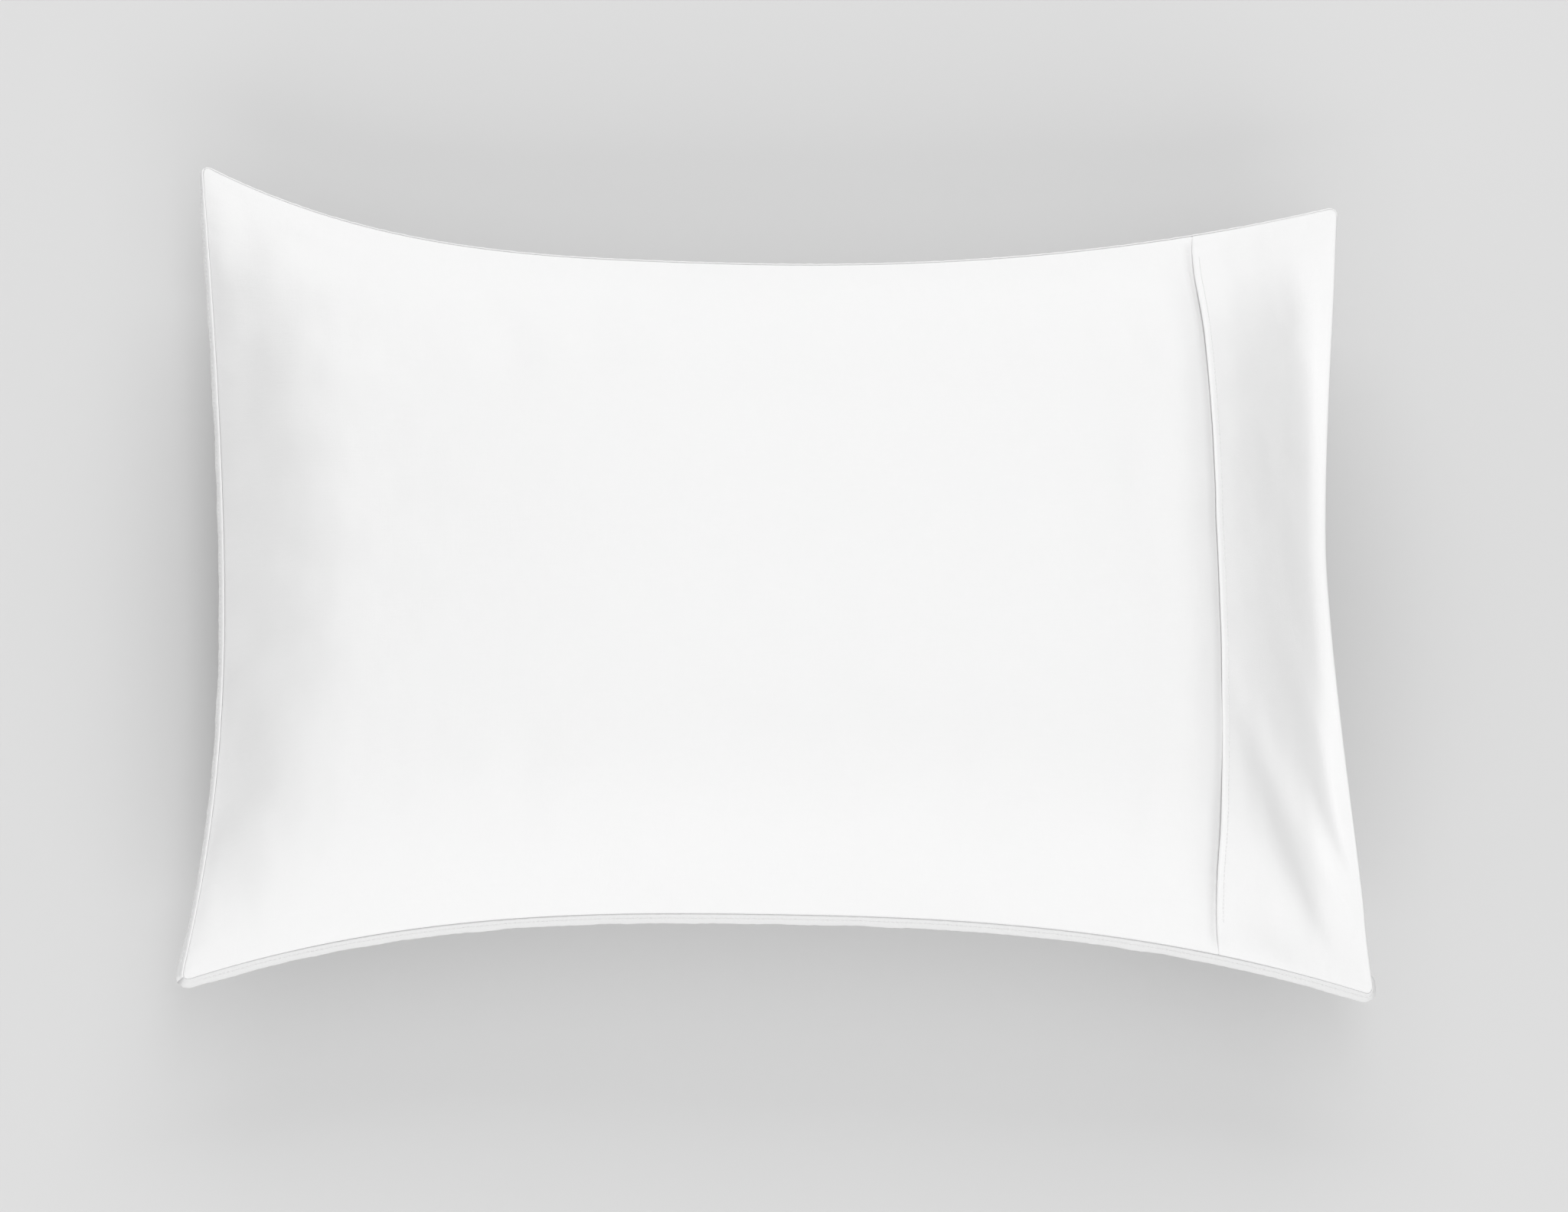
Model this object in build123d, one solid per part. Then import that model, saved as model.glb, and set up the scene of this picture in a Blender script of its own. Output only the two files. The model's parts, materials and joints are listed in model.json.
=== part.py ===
from build123d import *
import os
from functools import cache
from math import cos, pi, radians, sin

# A standard bed pillow (20 by 26 in) in a standard pillowcase (21 by 30 in), filled and lying flat.
# Millimetres. +X runs from the closed end of the case to its open mouth, +Y is the far long side
# and +Z is up. The origin is on the floor, under the middle of the rectangle of the four corners.

# The case, corner to corner, and how far each side pulls in between its corners
CASE_LENGTH = 740.0
CASE_WIDTH = 523.0
NEAR_PULL = 46.0
FAR_PULL = 54.0
CLOSED_PULL = 21.0
MOUTH_PULL = 23.0

# Heights: the side seams above the floor, and the crown of each half over the seams
SEAM_Z = 78.0
FRONT_CROWN = 105.0
BACK_CROWN = 92.0

# The mouth end: the crown falls from FALL_FROM to a low lip at FALL_TO
FALL_FROM = 0.0
FALL_TO = 350.0
FALL_POWER = 4.0
LIP = 0.135
HEM_X = 262.0
OVERRUN_X = 385.0

# The insert stands in from the case by these amounts, and ends at the hem
INSERT_END_X = 264.0
INSERT_END_PULL = 8.0
CLOSED_GAP = 13.0
SIDE_GAP = 15.0
CROWN_GAP = 4.0

# Cloth: one layer, the two layers of a cuff, the room left between loose layers
CLOTH = 0.8
CUFF_CLOTH = 1.6
THREAD = 0.5
FILL_GAP = 0.2
FILL_STEP = 0.3
INSERT_FLOOR_Z = 1.4

# The seam bands: the cloth inside the seams, standing out and leaning down
BAND_WIDTH = 9.0
BAND_CLOTH = 1.4
SEAM_GAP = 0.15
NEAR_LEAN = radians(60)
FAR_LEAN = radians(78)
END_LEAN = radians(78)

# The cord along the insert's seam: its radius, and how far its middle stands out from the seam
PIPING_RADIUS = 1.5
PIPING_OUT = 2.0

# How the crown rises from each edge: over what reach, and how suddenly. Over the closed end a quick
# rise makes up this share of the height, on top of a slow one.
QUICK_SHARE = 0.38
CASE_RISES = ((85, 2.3), (350, 1.9))
INSERT_RISES = ((90, 2.4), (360, 2.0))
SIDE_RISE = (0.5, 3.2)
INSERT_END_RISE = (250, 8.0)

GRID_LONG = 36
GRID_WIDE = 28
BIG = 1000.0

FRONT = 1
BACK = -1


def pull(t, peak, low_power, high_power):
    """How far a side has pulled in at t along it: 0 at its corners and 1 at its deepest point."""
    if t < peak:
        return 1 - ((peak - t) / peak) ** low_power
    return 1 - ((t - peak) / (1 - peak)) ** high_power


def near_side(x):
    return -CASE_WIDTH / 2 + NEAR_PULL * pull(x / CASE_LENGTH + 0.5, 0.47, 2.6, 2.6)


def far_side(x):
    return CASE_WIDTH / 2 - FAR_PULL * pull(x / CASE_LENGTH + 0.5, 0.42, 2.9, 2.2)


def closed_end(across):
    return -CASE_LENGTH / 2 + CLOSED_PULL * pull(across, 0.40, 2.3, 1.6)


def mouth_end(across):
    return CASE_LENGTH / 2 - MOUTH_PULL * pull(across, 0.53, 1.6, 1.5)


def edge_rise(distance, reach, power):
    """The share of the crown at a distance in from an edge: 0 on the edge and 1 from reach on."""
    if distance >= reach:
        return 1.0
    return 1 - (1 - distance / reach) ** power


def closed_rise(distance, quick, slow):
    """The share of the crown at a distance in from the closed end."""
    return QUICK_SHARE * edge_rise(distance, *quick) + (1 - QUICK_SHARE) * edge_rise(distance, *slow)


def mouth_fall(x):
    """The share of the crown left at x as the cloth comes down to the lip of the mouth."""
    share = min(max((x - FALL_FROM) / (FALL_TO - FALL_FROM), 0.0), 1.0)
    return LIP + (1 - LIP) * cos(pi / 2 * share**FALL_POWER) ** 2


def crown_of(side):
    return FRONT_CROWN if side == FRONT else BACK_CROWN


def spline_skin(point, side, inset):
    """A smooth surface through a grid of points, given by a function of the shares along and across."""
    rows = []
    for i in range(GRID_LONG + 1):
        rows.append([point(i / GRID_LONG, j / GRID_WIDE, side, inset) for j in range(GRID_WIDE + 1)])
    return Face.make_surface_from_array_of_points(rows, tol=0.01, min_deg=3, max_deg=5)


def case_point(along, across, side, inset):
    """A point on the skin of the filled case, drawn in by inset. The skin runs on past the mouth."""
    start = closed_end(across) + inset
    x = start + (OVERRUN_X - start) * along
    low = near_side(x) + inset
    y = low + (far_side(x) - inset - low) * across
    crown = crown_of(side) * mouth_fall(x) - inset
    height = crown * closed_rise(x - start, *CASE_RISES) * edge_rise(min(across, 1 - across), *SIDE_RISE)
    return Vector(x, y, SEAM_Z + side * height)


def insert_end(across):
    return INSERT_END_X + INSERT_END_PULL * (2 * across - 1) ** 2


def insert_point(along, across, side, inset):
    """A point on the skin of the insert, drawn in by inset."""
    start = closed_end(across) + CLOSED_GAP + inset
    end = insert_end(across) - inset
    x = start + (end - start) * along
    low = near_side(x) + SIDE_GAP + inset
    y = low + (far_side(x) - SIDE_GAP - inset - low) * across
    crown = crown_of(side) - CROWN_GAP - inset
    ends = closed_rise(x - start, *INSERT_RISES) * edge_rise(end - x, *INSERT_END_RISE)
    height = crown * ends * edge_rise(min(across, 1 - across), *SIDE_RISE)
    return Vector(x, y, SEAM_Z + side * height)


@cache
def case_half(side, inset):
    """The solid between the seam plane and the front or back skin of the case."""
    skin = spline_skin(case_point, side, inset)
    lip = skin.edges().sort_by(Axis.X)[-1]
    seams = [edge for edge in skin.edges() if edge.center().X < OVERRUN_X - 1]
    chord = Edge.make_line(lip @ 0, lip @ 1)
    wall = Face(Wire([lip, chord]))
    lid = Face(Wire([*seams, chord]))
    return Solid(Shell([skin, wall, lid]))


@cache
def insert_half(side, inset):
    """The solid between the seam plane and the front or back skin of the insert."""
    skin = spline_skin(insert_point, side, inset)
    return Solid(Shell([skin, Face(skin.outer_wire())]))


def region(low, high):
    """The box between two corners, to cut shapes with."""
    size = [b - a for a, b in zip(low, high)]
    return Box(*size, align=(Align.MIN, Align.MIN, Align.MIN)).moved(Location(low))


def above(z):
    return region((-BIG, -BIG, z), (BIG, BIG, BIG))


def beyond_mouth():
    """Everything past the curved edge of the mouth."""
    points = []
    for across in (0, 0.15, 0.35, 0.53, 0.7, 0.85, 1):
        points.append((mouth_end(across), CASE_WIDTH * (across - 0.5), 0))
    near, far = points[0], points[-1]
    curve = Edge.make_spline([Vector(*p) for p in points])
    frame = Polyline(far, (far[0], BIG, 0), (BIG, BIG, 0), (BIG, -BIG, 0), (near[0], -BIG, 0), near)
    return Solid.extrude(Face(Wire([curve, *frame.edges()])), Vector(0, 0, BIG))


def cuff(side):
    """Two layers of cloth from the hem to the mouth."""
    cloth = case_half(side, 0) - case_half(side, CUFF_CLOTH)
    past_hem = region((HEM_X, -BIG, -BIG), (BIG, BIG, BIG))
    return cloth & past_hem - beyond_mouth()


def front_panel():
    cloth = case_half(FRONT, 0) - case_half(FRONT, CLOTH)
    return cloth & region((-BIG, -BIG, -BIG), (HEM_X, BIG, BIG))


def back_panel():
    """The back's one layer of cloth, pressed flat where it lies on the floor."""
    outside = case_half(BACK, 0) & above(0)
    inside = case_half(BACK, CLOTH) & above(CLOTH)
    return (outside - inside) & region((-BIG, -BIG, -BIG), (HEM_X, BIG, BIG))


def cuff_stitching(side):
    """The row of thread that holds a cuff, 3 mm past the hem."""
    thread = case_half(side, -THREAD) - case_half(side, 0)
    row = region((HEM_X + 3, -BIG, -BIG), (HEM_X + 3 + THREAD, BIG, BIG))
    clear_of_band = above(SEAM_Z + 4) if side == FRONT else region((-BIG, -BIG, 0), (BIG, BIG, SEAM_Z - 14))
    return thread & row & clear_of_band


def side_curve(side_y):
    """The seam line along a long side, from the closed end to the mouth."""
    stations = [CASE_LENGTH * (i / 12 - 0.5) for i in range(13)]
    return Edge.make_spline([Vector(x, side_y(x), SEAM_Z) for x in stations])


def end_curve():
    """The seam line along the closed end, from the near corner to the far one."""
    return Edge.make_spline([case_point(0, i / 12, FRONT, 0) for i in range(13)])


def strip(curve, outward, lean, start, width, lift, thickness):
    """Cloth along a seam, leaning down from outward: start and width run down it, lift stands off it."""
    level = Vector(*outward)
    up = Vector(0, 0, 1)
    down_it = level * cos(lean) - up * sin(lean)
    off_it = level * sin(lean) + up * cos(lean)
    edge = curve.moved(Location(level * SEAM_GAP + down_it * start + off_it * lift))
    return Solid.extrude(Face.extrude(edge, off_it * thickness), down_it * width)


SEAMS = {
    "near_side_seam": (side_curve(near_side), (0, -1, 0), NEAR_LEAN),
    "far_side_seam": (side_curve(far_side), (0, 1, 0), FAR_LEAN),
    "closed_end_seam": (end_curve(), (-1, 0, 0), END_LEAN),
}


def seam_band(name):
    """The band of cloth that stands out from a seam."""
    return strip(*SEAMS[name], 0, BAND_WIDTH, 0, BAND_CLOTH)


def seam_stitching():
    """One row of thread along each seam band."""
    rows = [strip(*seam, 3.0, 0.8, BAND_CLOTH, THREAD) for seam in SEAMS.values()]
    return Compound(children=rows)


def case_care_label():
    """A blank label inside the back cuff, by the near corner of the mouth."""
    label = case_half(BACK, CUFF_CLOTH) - case_half(BACK, CUFF_CLOTH + THREAD)
    return label & region((300, -242, 0), (335, -200, SEAM_Z))


def ticking(side):
    """One panel of the insert's cover; the back one is flat underneath."""
    outside = insert_half(side, 0)
    inside = insert_half(side, CLOTH)
    if side == FRONT:
        return outside - inside
    return (outside & above(INSERT_FLOOR_Z)) - (inside & above(INSERT_FLOOR_Z + CLOTH))


def ticking_piping():
    """A cord round the seam of the insert, in four lengths that stop just short of the corners."""
    stations = [0.03 + 0.94 * i / 12 for i in range(13)]
    sides = [
        [insert_point(t, 0, FRONT, -PIPING_OUT) for t in stations],
        [insert_point(t, 1, FRONT, -PIPING_OUT) for t in stations],
        [insert_point(0, t, FRONT, -PIPING_OUT) for t in stations],
        [insert_point(1, t, FRONT, -PIPING_OUT) for t in stations],
    ]
    lengths = []
    for points in sides:
        path = Edge.make_spline(points)
        section = Plane(origin=path @ 0, z_dir=path % 0) * Circle(PIPING_RADIUS)
        lengths.append(sweep(section, path=path).solid())
    return Compound(children=lengths)


def on_insert_back(low, high, thickness):
    """A patch that lies on the outside of the insert's back panel."""
    return (insert_half(BACK, -thickness) - insert_half(BACK, 0)) & region(low, high)


def ticking_closing_stitch():
    return on_insert_back((200, -90, SEAM_Z - 7), (280, 90, SEAM_Z - 6), THREAD)


def ticking_care_label():
    return on_insert_back((150, -BIG, SEAM_Z - 32), (190, 0, SEAM_Z - 6), THREAD)


def fibre_fill():
    """The filling as one block, flat underneath. Its back half is a little narrower at the seam."""
    inset = CLOTH + FILL_GAP
    back = insert_half(BACK, inset + FILL_STEP) & above(INSERT_FLOOR_Z + inset)
    return insert_half(FRONT, inset) + back


def write(name, shape):
    os.makedirs("parts", exist_ok=True)
    export_step(shape, f"parts/{name}.step")


write("case_front_panel", front_panel())
write("case_back_panel", back_panel())
write("front_cuff", cuff(FRONT))
write("back_cuff", cuff(BACK))
write("front_cuff_stitching", cuff_stitching(FRONT))
write("back_cuff_stitching", cuff_stitching(BACK))
for seam_name in SEAMS:
    write(seam_name, seam_band(seam_name))
write("case_seam_stitching", seam_stitching())
write("case_care_label", case_care_label())
write("ticking_front_panel", ticking(FRONT))
write("ticking_back_panel", ticking(BACK))
write("ticking_piping", ticking_piping())
write("ticking_closing_stitch", ticking_closing_stitch())
write("ticking_care_label", ticking_care_label())
write("fibre_fill", fibre_fill())
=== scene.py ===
import json
from math import pi, radians

import bpy
import numpy as np
from mathutils import Matrix, Vector

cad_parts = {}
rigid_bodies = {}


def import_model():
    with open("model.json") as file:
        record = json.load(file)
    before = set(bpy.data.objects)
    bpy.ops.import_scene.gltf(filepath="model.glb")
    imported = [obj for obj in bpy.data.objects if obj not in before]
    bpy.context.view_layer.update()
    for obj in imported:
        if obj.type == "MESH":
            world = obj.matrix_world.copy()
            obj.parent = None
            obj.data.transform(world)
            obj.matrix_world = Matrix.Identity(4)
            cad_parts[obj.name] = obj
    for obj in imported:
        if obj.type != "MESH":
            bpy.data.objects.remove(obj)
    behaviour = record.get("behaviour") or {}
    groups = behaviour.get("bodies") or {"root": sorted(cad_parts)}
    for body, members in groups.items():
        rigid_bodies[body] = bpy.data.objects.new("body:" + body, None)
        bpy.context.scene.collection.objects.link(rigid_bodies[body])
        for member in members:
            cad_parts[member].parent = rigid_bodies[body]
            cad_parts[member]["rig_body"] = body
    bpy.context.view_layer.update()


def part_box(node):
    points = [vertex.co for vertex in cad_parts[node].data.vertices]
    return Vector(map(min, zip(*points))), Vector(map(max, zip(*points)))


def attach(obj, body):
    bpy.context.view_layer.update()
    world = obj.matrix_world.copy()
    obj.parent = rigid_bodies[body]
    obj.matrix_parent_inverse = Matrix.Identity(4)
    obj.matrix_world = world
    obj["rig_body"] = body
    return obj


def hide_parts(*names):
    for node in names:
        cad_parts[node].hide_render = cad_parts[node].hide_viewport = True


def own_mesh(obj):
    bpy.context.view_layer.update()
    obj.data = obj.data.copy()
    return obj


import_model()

# A bed pillow in its pillowcase, lying flat, in metres. +X runs from the closed end of the case to
# its mouth, and +Y to its far long side. The main sizes come from the boxes of the CAD nodes. The
# outline and the crown repeat the values of the CAD parts, but the hem line here bows.
PANEL_LOW, PANEL_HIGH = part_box("case_front_panel")
CUFF_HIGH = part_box("front_cuff")[1]
TICKING_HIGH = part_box("ticking_front_panel")[1]
LABEL_LOW, LABEL_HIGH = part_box("case_care_label")
TAG_LOW, TAG_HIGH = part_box("ticking_care_label")
CLOSING_LOW, CLOSING_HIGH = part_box("ticking_closing_stitch")

LENGTH = CUFF_HIGH.x - PANEL_LOW.x
WIDTH = PANEL_HIGH.y - PANEL_LOW.y
SEAM_Z = PANEL_LOW.z
FRONT_CROWN = PANEL_HIGH.z - SEAM_Z
BACK_CROWN = 0.092

# Flat sizes: a 21 by 30 in case with a 4 in hem, and a 20 by 26 in insert
CASE_FLAT = (0.762, 0.533)
CUFF_FLAT = 0.102
INSERT_FLAT = (0.660, 0.508)

# How far each side pulls in between its corners
NEAR_PULL = 0.046
FAR_PULL = 0.054
CLOSED_PULL = 0.021
MOUTH_PULL = 0.023
# Where along each side that is deepest, and the powers by which it ends at the low and high corners
NEAR_SHAPE = (0.47, 2.6, 2.6)
FAR_SHAPE = (0.42, 2.9, 2.2)
CLOSED_SHAPE = (0.40, 2.3, 1.6)
MOUTH_SHAPE = (0.53, 1.6, 1.5)

# The crown: how it rises from the edges, and how it falls to the lip of the mouth
QUICK_SHARE = 0.38
CASE_RISES = ((0.085, 2.3), (0.350, 1.9))
INSERT_RISES = ((0.090, 2.4), (0.360, 2.0))
SIDE_RISE = 3.2
FALL_TO = 0.350
FALL_POWER = 4.0
LIP = 0.135

# The hem line: where it is half-way across, and how much nearer the mouth it ends at the sides
HEM_MIDDLE = 0.2585
HEM_FLARE = 0.0135
HEM_POWER = 5

# The insert: the shape of its far end, and the gaps between it and the case
INSERT_END_RISE = (0.250, 8.0)
INSERT_END_PULL = 0.008
INSERT_FLOOR = 0.0014
CLOSED_GAP = 0.013
SIDE_GAP = 0.015
CROWN_GAP = 0.004
SOFT_LANDING = 0.003

# Cloth, seams and stitches
CLOTH = 0.0006
SEWN_THIN = 0.2
CUFF_CLOTH = 0.0013
CUFF_LIFT = 0.0005
TICKING_CLOTH = 0.0007
TAPE_CLOTH = 0.0004
BAND_WIDTH = 0.009
BAND_CLOTH = 0.0012
BAND_STITCH_SHARE = 0.36
NEAR_LEAN, NEAR_CURL = radians(58), radians(9)
END_LEAN, END_CURL = radians(46), radians(56)
FAR_LEAN, FAR_CURL = radians(74), radians(24)
PIPING_RADIUS = 0.0016
STITCH = 0.0029
THREAD = 0.00024
HAND_PITCH = 0.0033
HAND_THREAD = 0.00032
CASE_TIP = 0.0065
INSERT_TIP = 0.014

FRONT = 1
BACK = -1


# Small helpers on arrays

def bell(distance, width):
    """1 at distance 0, fading smoothly to 0 over a few widths."""
    return np.exp(-((distance / width) ** 2))


def ramp(value, start, end):
    """0 up to start and 1 from end on, smooth between."""
    share = np.clip((value - start) / (end - start), 0, 1)
    return share * share * (3 - 2 * share)


def unit(vectors):
    """The vectors with length 1."""
    return vectors / np.maximum(np.linalg.norm(vectors, axis=-1, keepdims=True), 1e-12)


def waves(x, y, size, seed, count=7):
    """Smooth uneven waves between about -1 and 1: a few sines in scattered directions."""
    random = np.random.default_rng(seed)
    total = np.zeros(np.broadcast(x, y).shape)
    for _ in range(count):
        turn, phase = random.uniform(0, 2 * pi, 2)
        stretch = random.uniform(0.7, 1.5)
        total += np.sin(2 * pi / (size * stretch) * (x * np.cos(turn) + y * np.sin(turn)) + phase)
    return total / count**0.5 / 1.4


def ripples(s, size, seed):
    """Uneven waves along a line."""
    random = np.random.default_rng(seed)
    total = 0
    for stretch in (0.71, 0.9, 1.13, 1.52):
        total = total + np.sin(2 * pi * s / (size * stretch) + random.uniform(0, 2 * pi))
    return total / 2.8


def stations(length, first, last, coarse, growth=1.22):
    """Places along a length, close together at both ends and coarse between."""
    def graded(step):
        places = [0.0]
        while step < coarse and places[-1] < length / 3:
            places.append(places[-1] + step)
            step *= growth
        return places
    head, tail = graded(first), graded(last)
    middle_length = length - head[-1] - tail[-1]
    middle = np.linspace(head[-1], length - tail[-1], max(2, round(middle_length / coarse) + 1))
    return np.concatenate([head[:-1], middle, (length - np.array(tail[:-1]))[::-1]])


def gone(points):
    """The distance gone along a line at each of its points."""
    return np.concatenate([[0], np.cumsum(np.linalg.norm(np.diff(points, axis=0), axis=1))])


def read_line(points, at):
    """Points, or any values with them, read at distances along the line of their first three columns."""
    along = gone(points[:, :3])
    return np.stack([np.interp(at, along, points[:, k]) for k in range(points.shape[1])], axis=-1)


# The outline and the crown, by the same formulas as the CAD parts

def pull(t, peak, low_power, high_power):
    """The share of a side's pull at the share t along it: 1 at the peak and 0 at both corners."""
    low = np.clip((peak - t) / peak, 0, None) ** low_power
    high = np.clip((t - peak) / (1 - peak), 0, None) ** high_power
    return 1 - low - high


def near_side(x):
    return -WIDTH / 2 + NEAR_PULL * pull(x / LENGTH + 0.5, *NEAR_SHAPE)


def far_side(x):
    return WIDTH / 2 - FAR_PULL * pull(x / LENGTH + 0.5, *FAR_SHAPE)


def closed_end(across):
    return -LENGTH / 2 + CLOSED_PULL * pull(across, *CLOSED_SHAPE)


def mouth_end(across):
    return LENGTH / 2 - MOUTH_PULL * pull(across, *MOUTH_SHAPE)


def hem_line(across):
    return HEM_MIDDLE + HEM_FLARE * np.abs(2 * across - 1) ** HEM_POWER


def insert_start(across):
    return closed_end(across) + CLOSED_GAP


def insert_end(across):
    return TICKING_HIGH.x - INSERT_END_PULL * (1 - (2 * across - 1) ** 2)


def edge_rise(distance, reach, power):
    """The share of the crown at a distance in from an edge, full from reach on."""
    return 1 - np.clip(1 - distance / reach, 0, 1) ** power


def closed_rise(distance, quick, slow):
    """The share of the crown at a distance in from the closed end: a quick rise on top of a slow one."""
    return QUICK_SHARE * edge_rise(distance, *quick) + (1 - QUICK_SHARE) * edge_rise(distance, *slow)


def mouth_fall(x):
    """The share of the crown that is left as it falls towards the lip of the mouth."""
    share = np.clip(x / FALL_TO, 0, 1)
    return LIP + (1 - LIP) * np.cos(pi / 2 * share**FALL_POWER) ** 2


def crown_of(side):
    return FRONT_CROWN if side == FRONT else BACK_CROWN


def round_tip(a, b, radius):
    """Distances a and b in from the two sides of a corner, with the corner rounded off."""
    p, q = np.clip(1 - a / radius, 0, 1), np.clip(1 - b / radius, 0, 1)
    inside = (a < radius) & (b < radius)
    return (np.where(inside, radius * (1 - p * np.sqrt(1 - q * q / 2)), a),
            np.where(inside, radius * (1 - q * np.sqrt(1 - p * p / 2)), b))


def round_tips(points, start, end, low, high, radius):
    """The points with the four corners of their outline rounded, in plan."""
    points = points.copy()
    x, y = points[..., 0], points[..., 1]
    for from_start in (True, False):
        for from_low in (True, False):
            a = x - start if from_start else end - x
            b = y - low if from_low else high - y
            a, b = round_tip(a, b, radius)
            x = start + a if from_start else end - a
            y = low + b if from_low else high - b
    points[..., 0], points[..., 1] = x, y
    return points


def case_skin(side, x, across):
    """Points on the smooth skin of the filled case at x and the share across."""
    low, high = near_side(x), far_side(x)
    start = closed_end(across)
    rise = closed_rise(x - start, *CASE_RISES) * edge_rise(np.minimum(across, 1 - across), 0.5, SIDE_RISE)
    height = crown_of(side) * mouth_fall(x) * rise
    points = np.stack([x, low + (high - low) * across, SEAM_Z + side * height], axis=-1)
    return round_tips(points, start, mouth_end(across), low, high, CASE_TIP)


def insert_skin(side, along, across):
    """Points on the smooth skin of the insert at shares along and across it."""
    start, end = insert_start(across), insert_end(across)
    x = start + (end - start) * along
    low, high = near_side(x) + SIDE_GAP, far_side(x) - SIDE_GAP
    rise = closed_rise(x - start, *INSERT_RISES) * edge_rise(end - x, *INSERT_END_RISE)
    rise = rise * edge_rise(np.minimum(across, 1 - across), 0.5, SIDE_RISE)
    height = (crown_of(side) - CROWN_GAP) * rise
    points = np.stack([x, low + (high - low) * across, SEAM_Z + side * height], axis=-1)
    return round_tips(points, start, end, low, high, INSERT_TIP)


def laid_on(points, floor):
    """The points with what would hang below the floor lying on it, turning softly."""
    points = points.copy()
    points[..., 2] = floor + SOFT_LANDING * np.logaddexp(0, (points[..., 2] - floor) / SOFT_LANDING)
    return points


# Cloth simulation: the skin is let out a little and blown up, held along its seams

SIM_STEP = 0.008
SIM_FRAMES = 16
EASE = 0.02
PRESSURE = 2.5
CASE_CAP = 0.003
INSERT_CAP = 0.002


def grid_faces(rows, columns, start=0, flip=False):
    """Quads that join a grid of points."""
    a = (start + np.arange(rows - 1)[:, None] * columns + np.arange(columns - 1)[None, :]).ravel()
    quads = np.stack([a, a + columns, a + columns + 1, a + 1], axis=-1)
    return quads[:, ::-1] if flip else quads


def sewn_grids(edge):
    """Two grids that share the points marked as edge: their index, the points used, and the quads."""
    rows, columns = edge.shape
    index = np.arange(2 * rows * columns).reshape(2, rows, columns)
    index[1][edge] = index[0][edge]
    faces = np.concatenate([index[0].ravel()[grid_faces(rows, columns)],
                            index[1].ravel()[grid_faces(rows, columns, flip=True)]])
    used, compact = np.unique(faces, return_inverse=True)
    return index, used, compact.reshape(-1, 4)


def smoothed(field):
    """Two grids' values evened out between neighbours, and left as they are on their edges."""
    inner = (slice(None), slice(1, -1), slice(1, -1))
    for _ in range(2):
        for axis in (1, 2):
            even = (np.roll(field, 1, axis) + 2 * field + np.roll(field, -1, axis)) / 4
            field = field.copy()
            field[inner] = even[inner]
    return field


def blown_up(front, back, open_end, cap):
    """How far each grid point of two sewn skins moves, up to the cap, when the cloth is blown up."""
    rows, columns = front.shape[:2]
    points = np.concatenate([front.reshape(-1, 3), back.reshape(-1, 3)])
    sewn = np.zeros((rows, columns), bool)
    sewn[0, :] = sewn[:, 0] = sewn[:, -1] = True
    sewn[-1, 1:-1] = not open_end
    index, used, quads = sewn_grids(sewn)
    mesh = bpy.data.meshes.new("blown_up")
    mesh.from_pydata(points[used].tolist(), [], quads.tolist())
    piece = bpy.data.objects.new("blown_up", mesh)
    bpy.context.collection.objects.link(piece)
    held = sewn.copy()
    held[-1, :] = True
    held_points = set(index[0][held].tolist()) | set(index[1][held].tolist())
    seams = piece.vertex_groups.new(name="seams")
    seams.add([i for i, old in enumerate(used.tolist()) if old in held_points], 1.0, "REPLACE")
    cloth = piece.modifiers.new("Cloth", "CLOTH")
    cloth.settings.quality = 5
    cloth.settings.mass = 0.15
    cloth.settings.tension_stiffness = cloth.settings.compression_stiffness = 15
    cloth.settings.bending_stiffness = 0.8
    cloth.settings.use_pressure = True
    cloth.settings.uniform_pressure_force = PRESSURE
    cloth.settings.shrink_min = -EASE
    cloth.settings.vertex_group_mass = "seams"
    cloth.settings.effector_weights.gravity = 0
    cloth.collision_settings.use_collision = False
    cloth.point_cache.frame_start, cloth.point_cache.frame_end = 1, SIM_FRAMES
    for step in range(1, SIM_FRAMES + 1):
        bpy.context.scene.frame_set(step)
    shown = piece.evaluated_get(bpy.context.evaluated_depsgraph_get())
    after = np.zeros(len(used) * 3)
    shown.data.vertices.foreach_get("co", after)
    moved = after.reshape(-1, 3) - points[used]
    length = np.linalg.norm(moved, axis=1, keepdims=True)
    moved *= cap * np.tanh(length / cap) / np.maximum(length, 1e-9)
    place = np.zeros(2 * rows * columns, int)
    place[used] = np.arange(len(used))
    bpy.data.objects.remove(piece)
    bpy.data.meshes.remove(mesh)
    bpy.context.scene.frame_set(1)
    return smoothed(moved[place[index.ravel()]].reshape(2, rows, columns, 3))


def catmull(t):
    """The weights of four neighbours in a row at the share t between the middle two."""
    return ((-t + 2 * t**2 - t**3) / 2, (2 - 5 * t**2 + 3 * t**3) / 2,
            (t + 4 * t**2 - 3 * t**3) / 2, (t**3 - t**2) / 2)


def sampled(field, along, across):
    """A coarse grid's values read at shares along and across it, smoothly."""
    rows, columns = field.shape[:2]
    a = np.clip(along * (rows - 1), 0, rows - 1 - 1e-9)
    b = np.clip(across * (columns - 1), 0, columns - 1 - 1e-9)
    i, j = a.astype(int), b.astype(int)
    total = 0
    for di, wi in zip((-1, 0, 1, 2), catmull(a - i)):
        for dj, wj in zip((-1, 0, 1, 2), catmull(b - j)):
            ii, jj = np.clip(i + di, 0, rows - 1), np.clip(j + dj, 0, columns - 1)
            total = total + field[ii, jj] * (wi * wj)[..., None]
    return total


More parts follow.
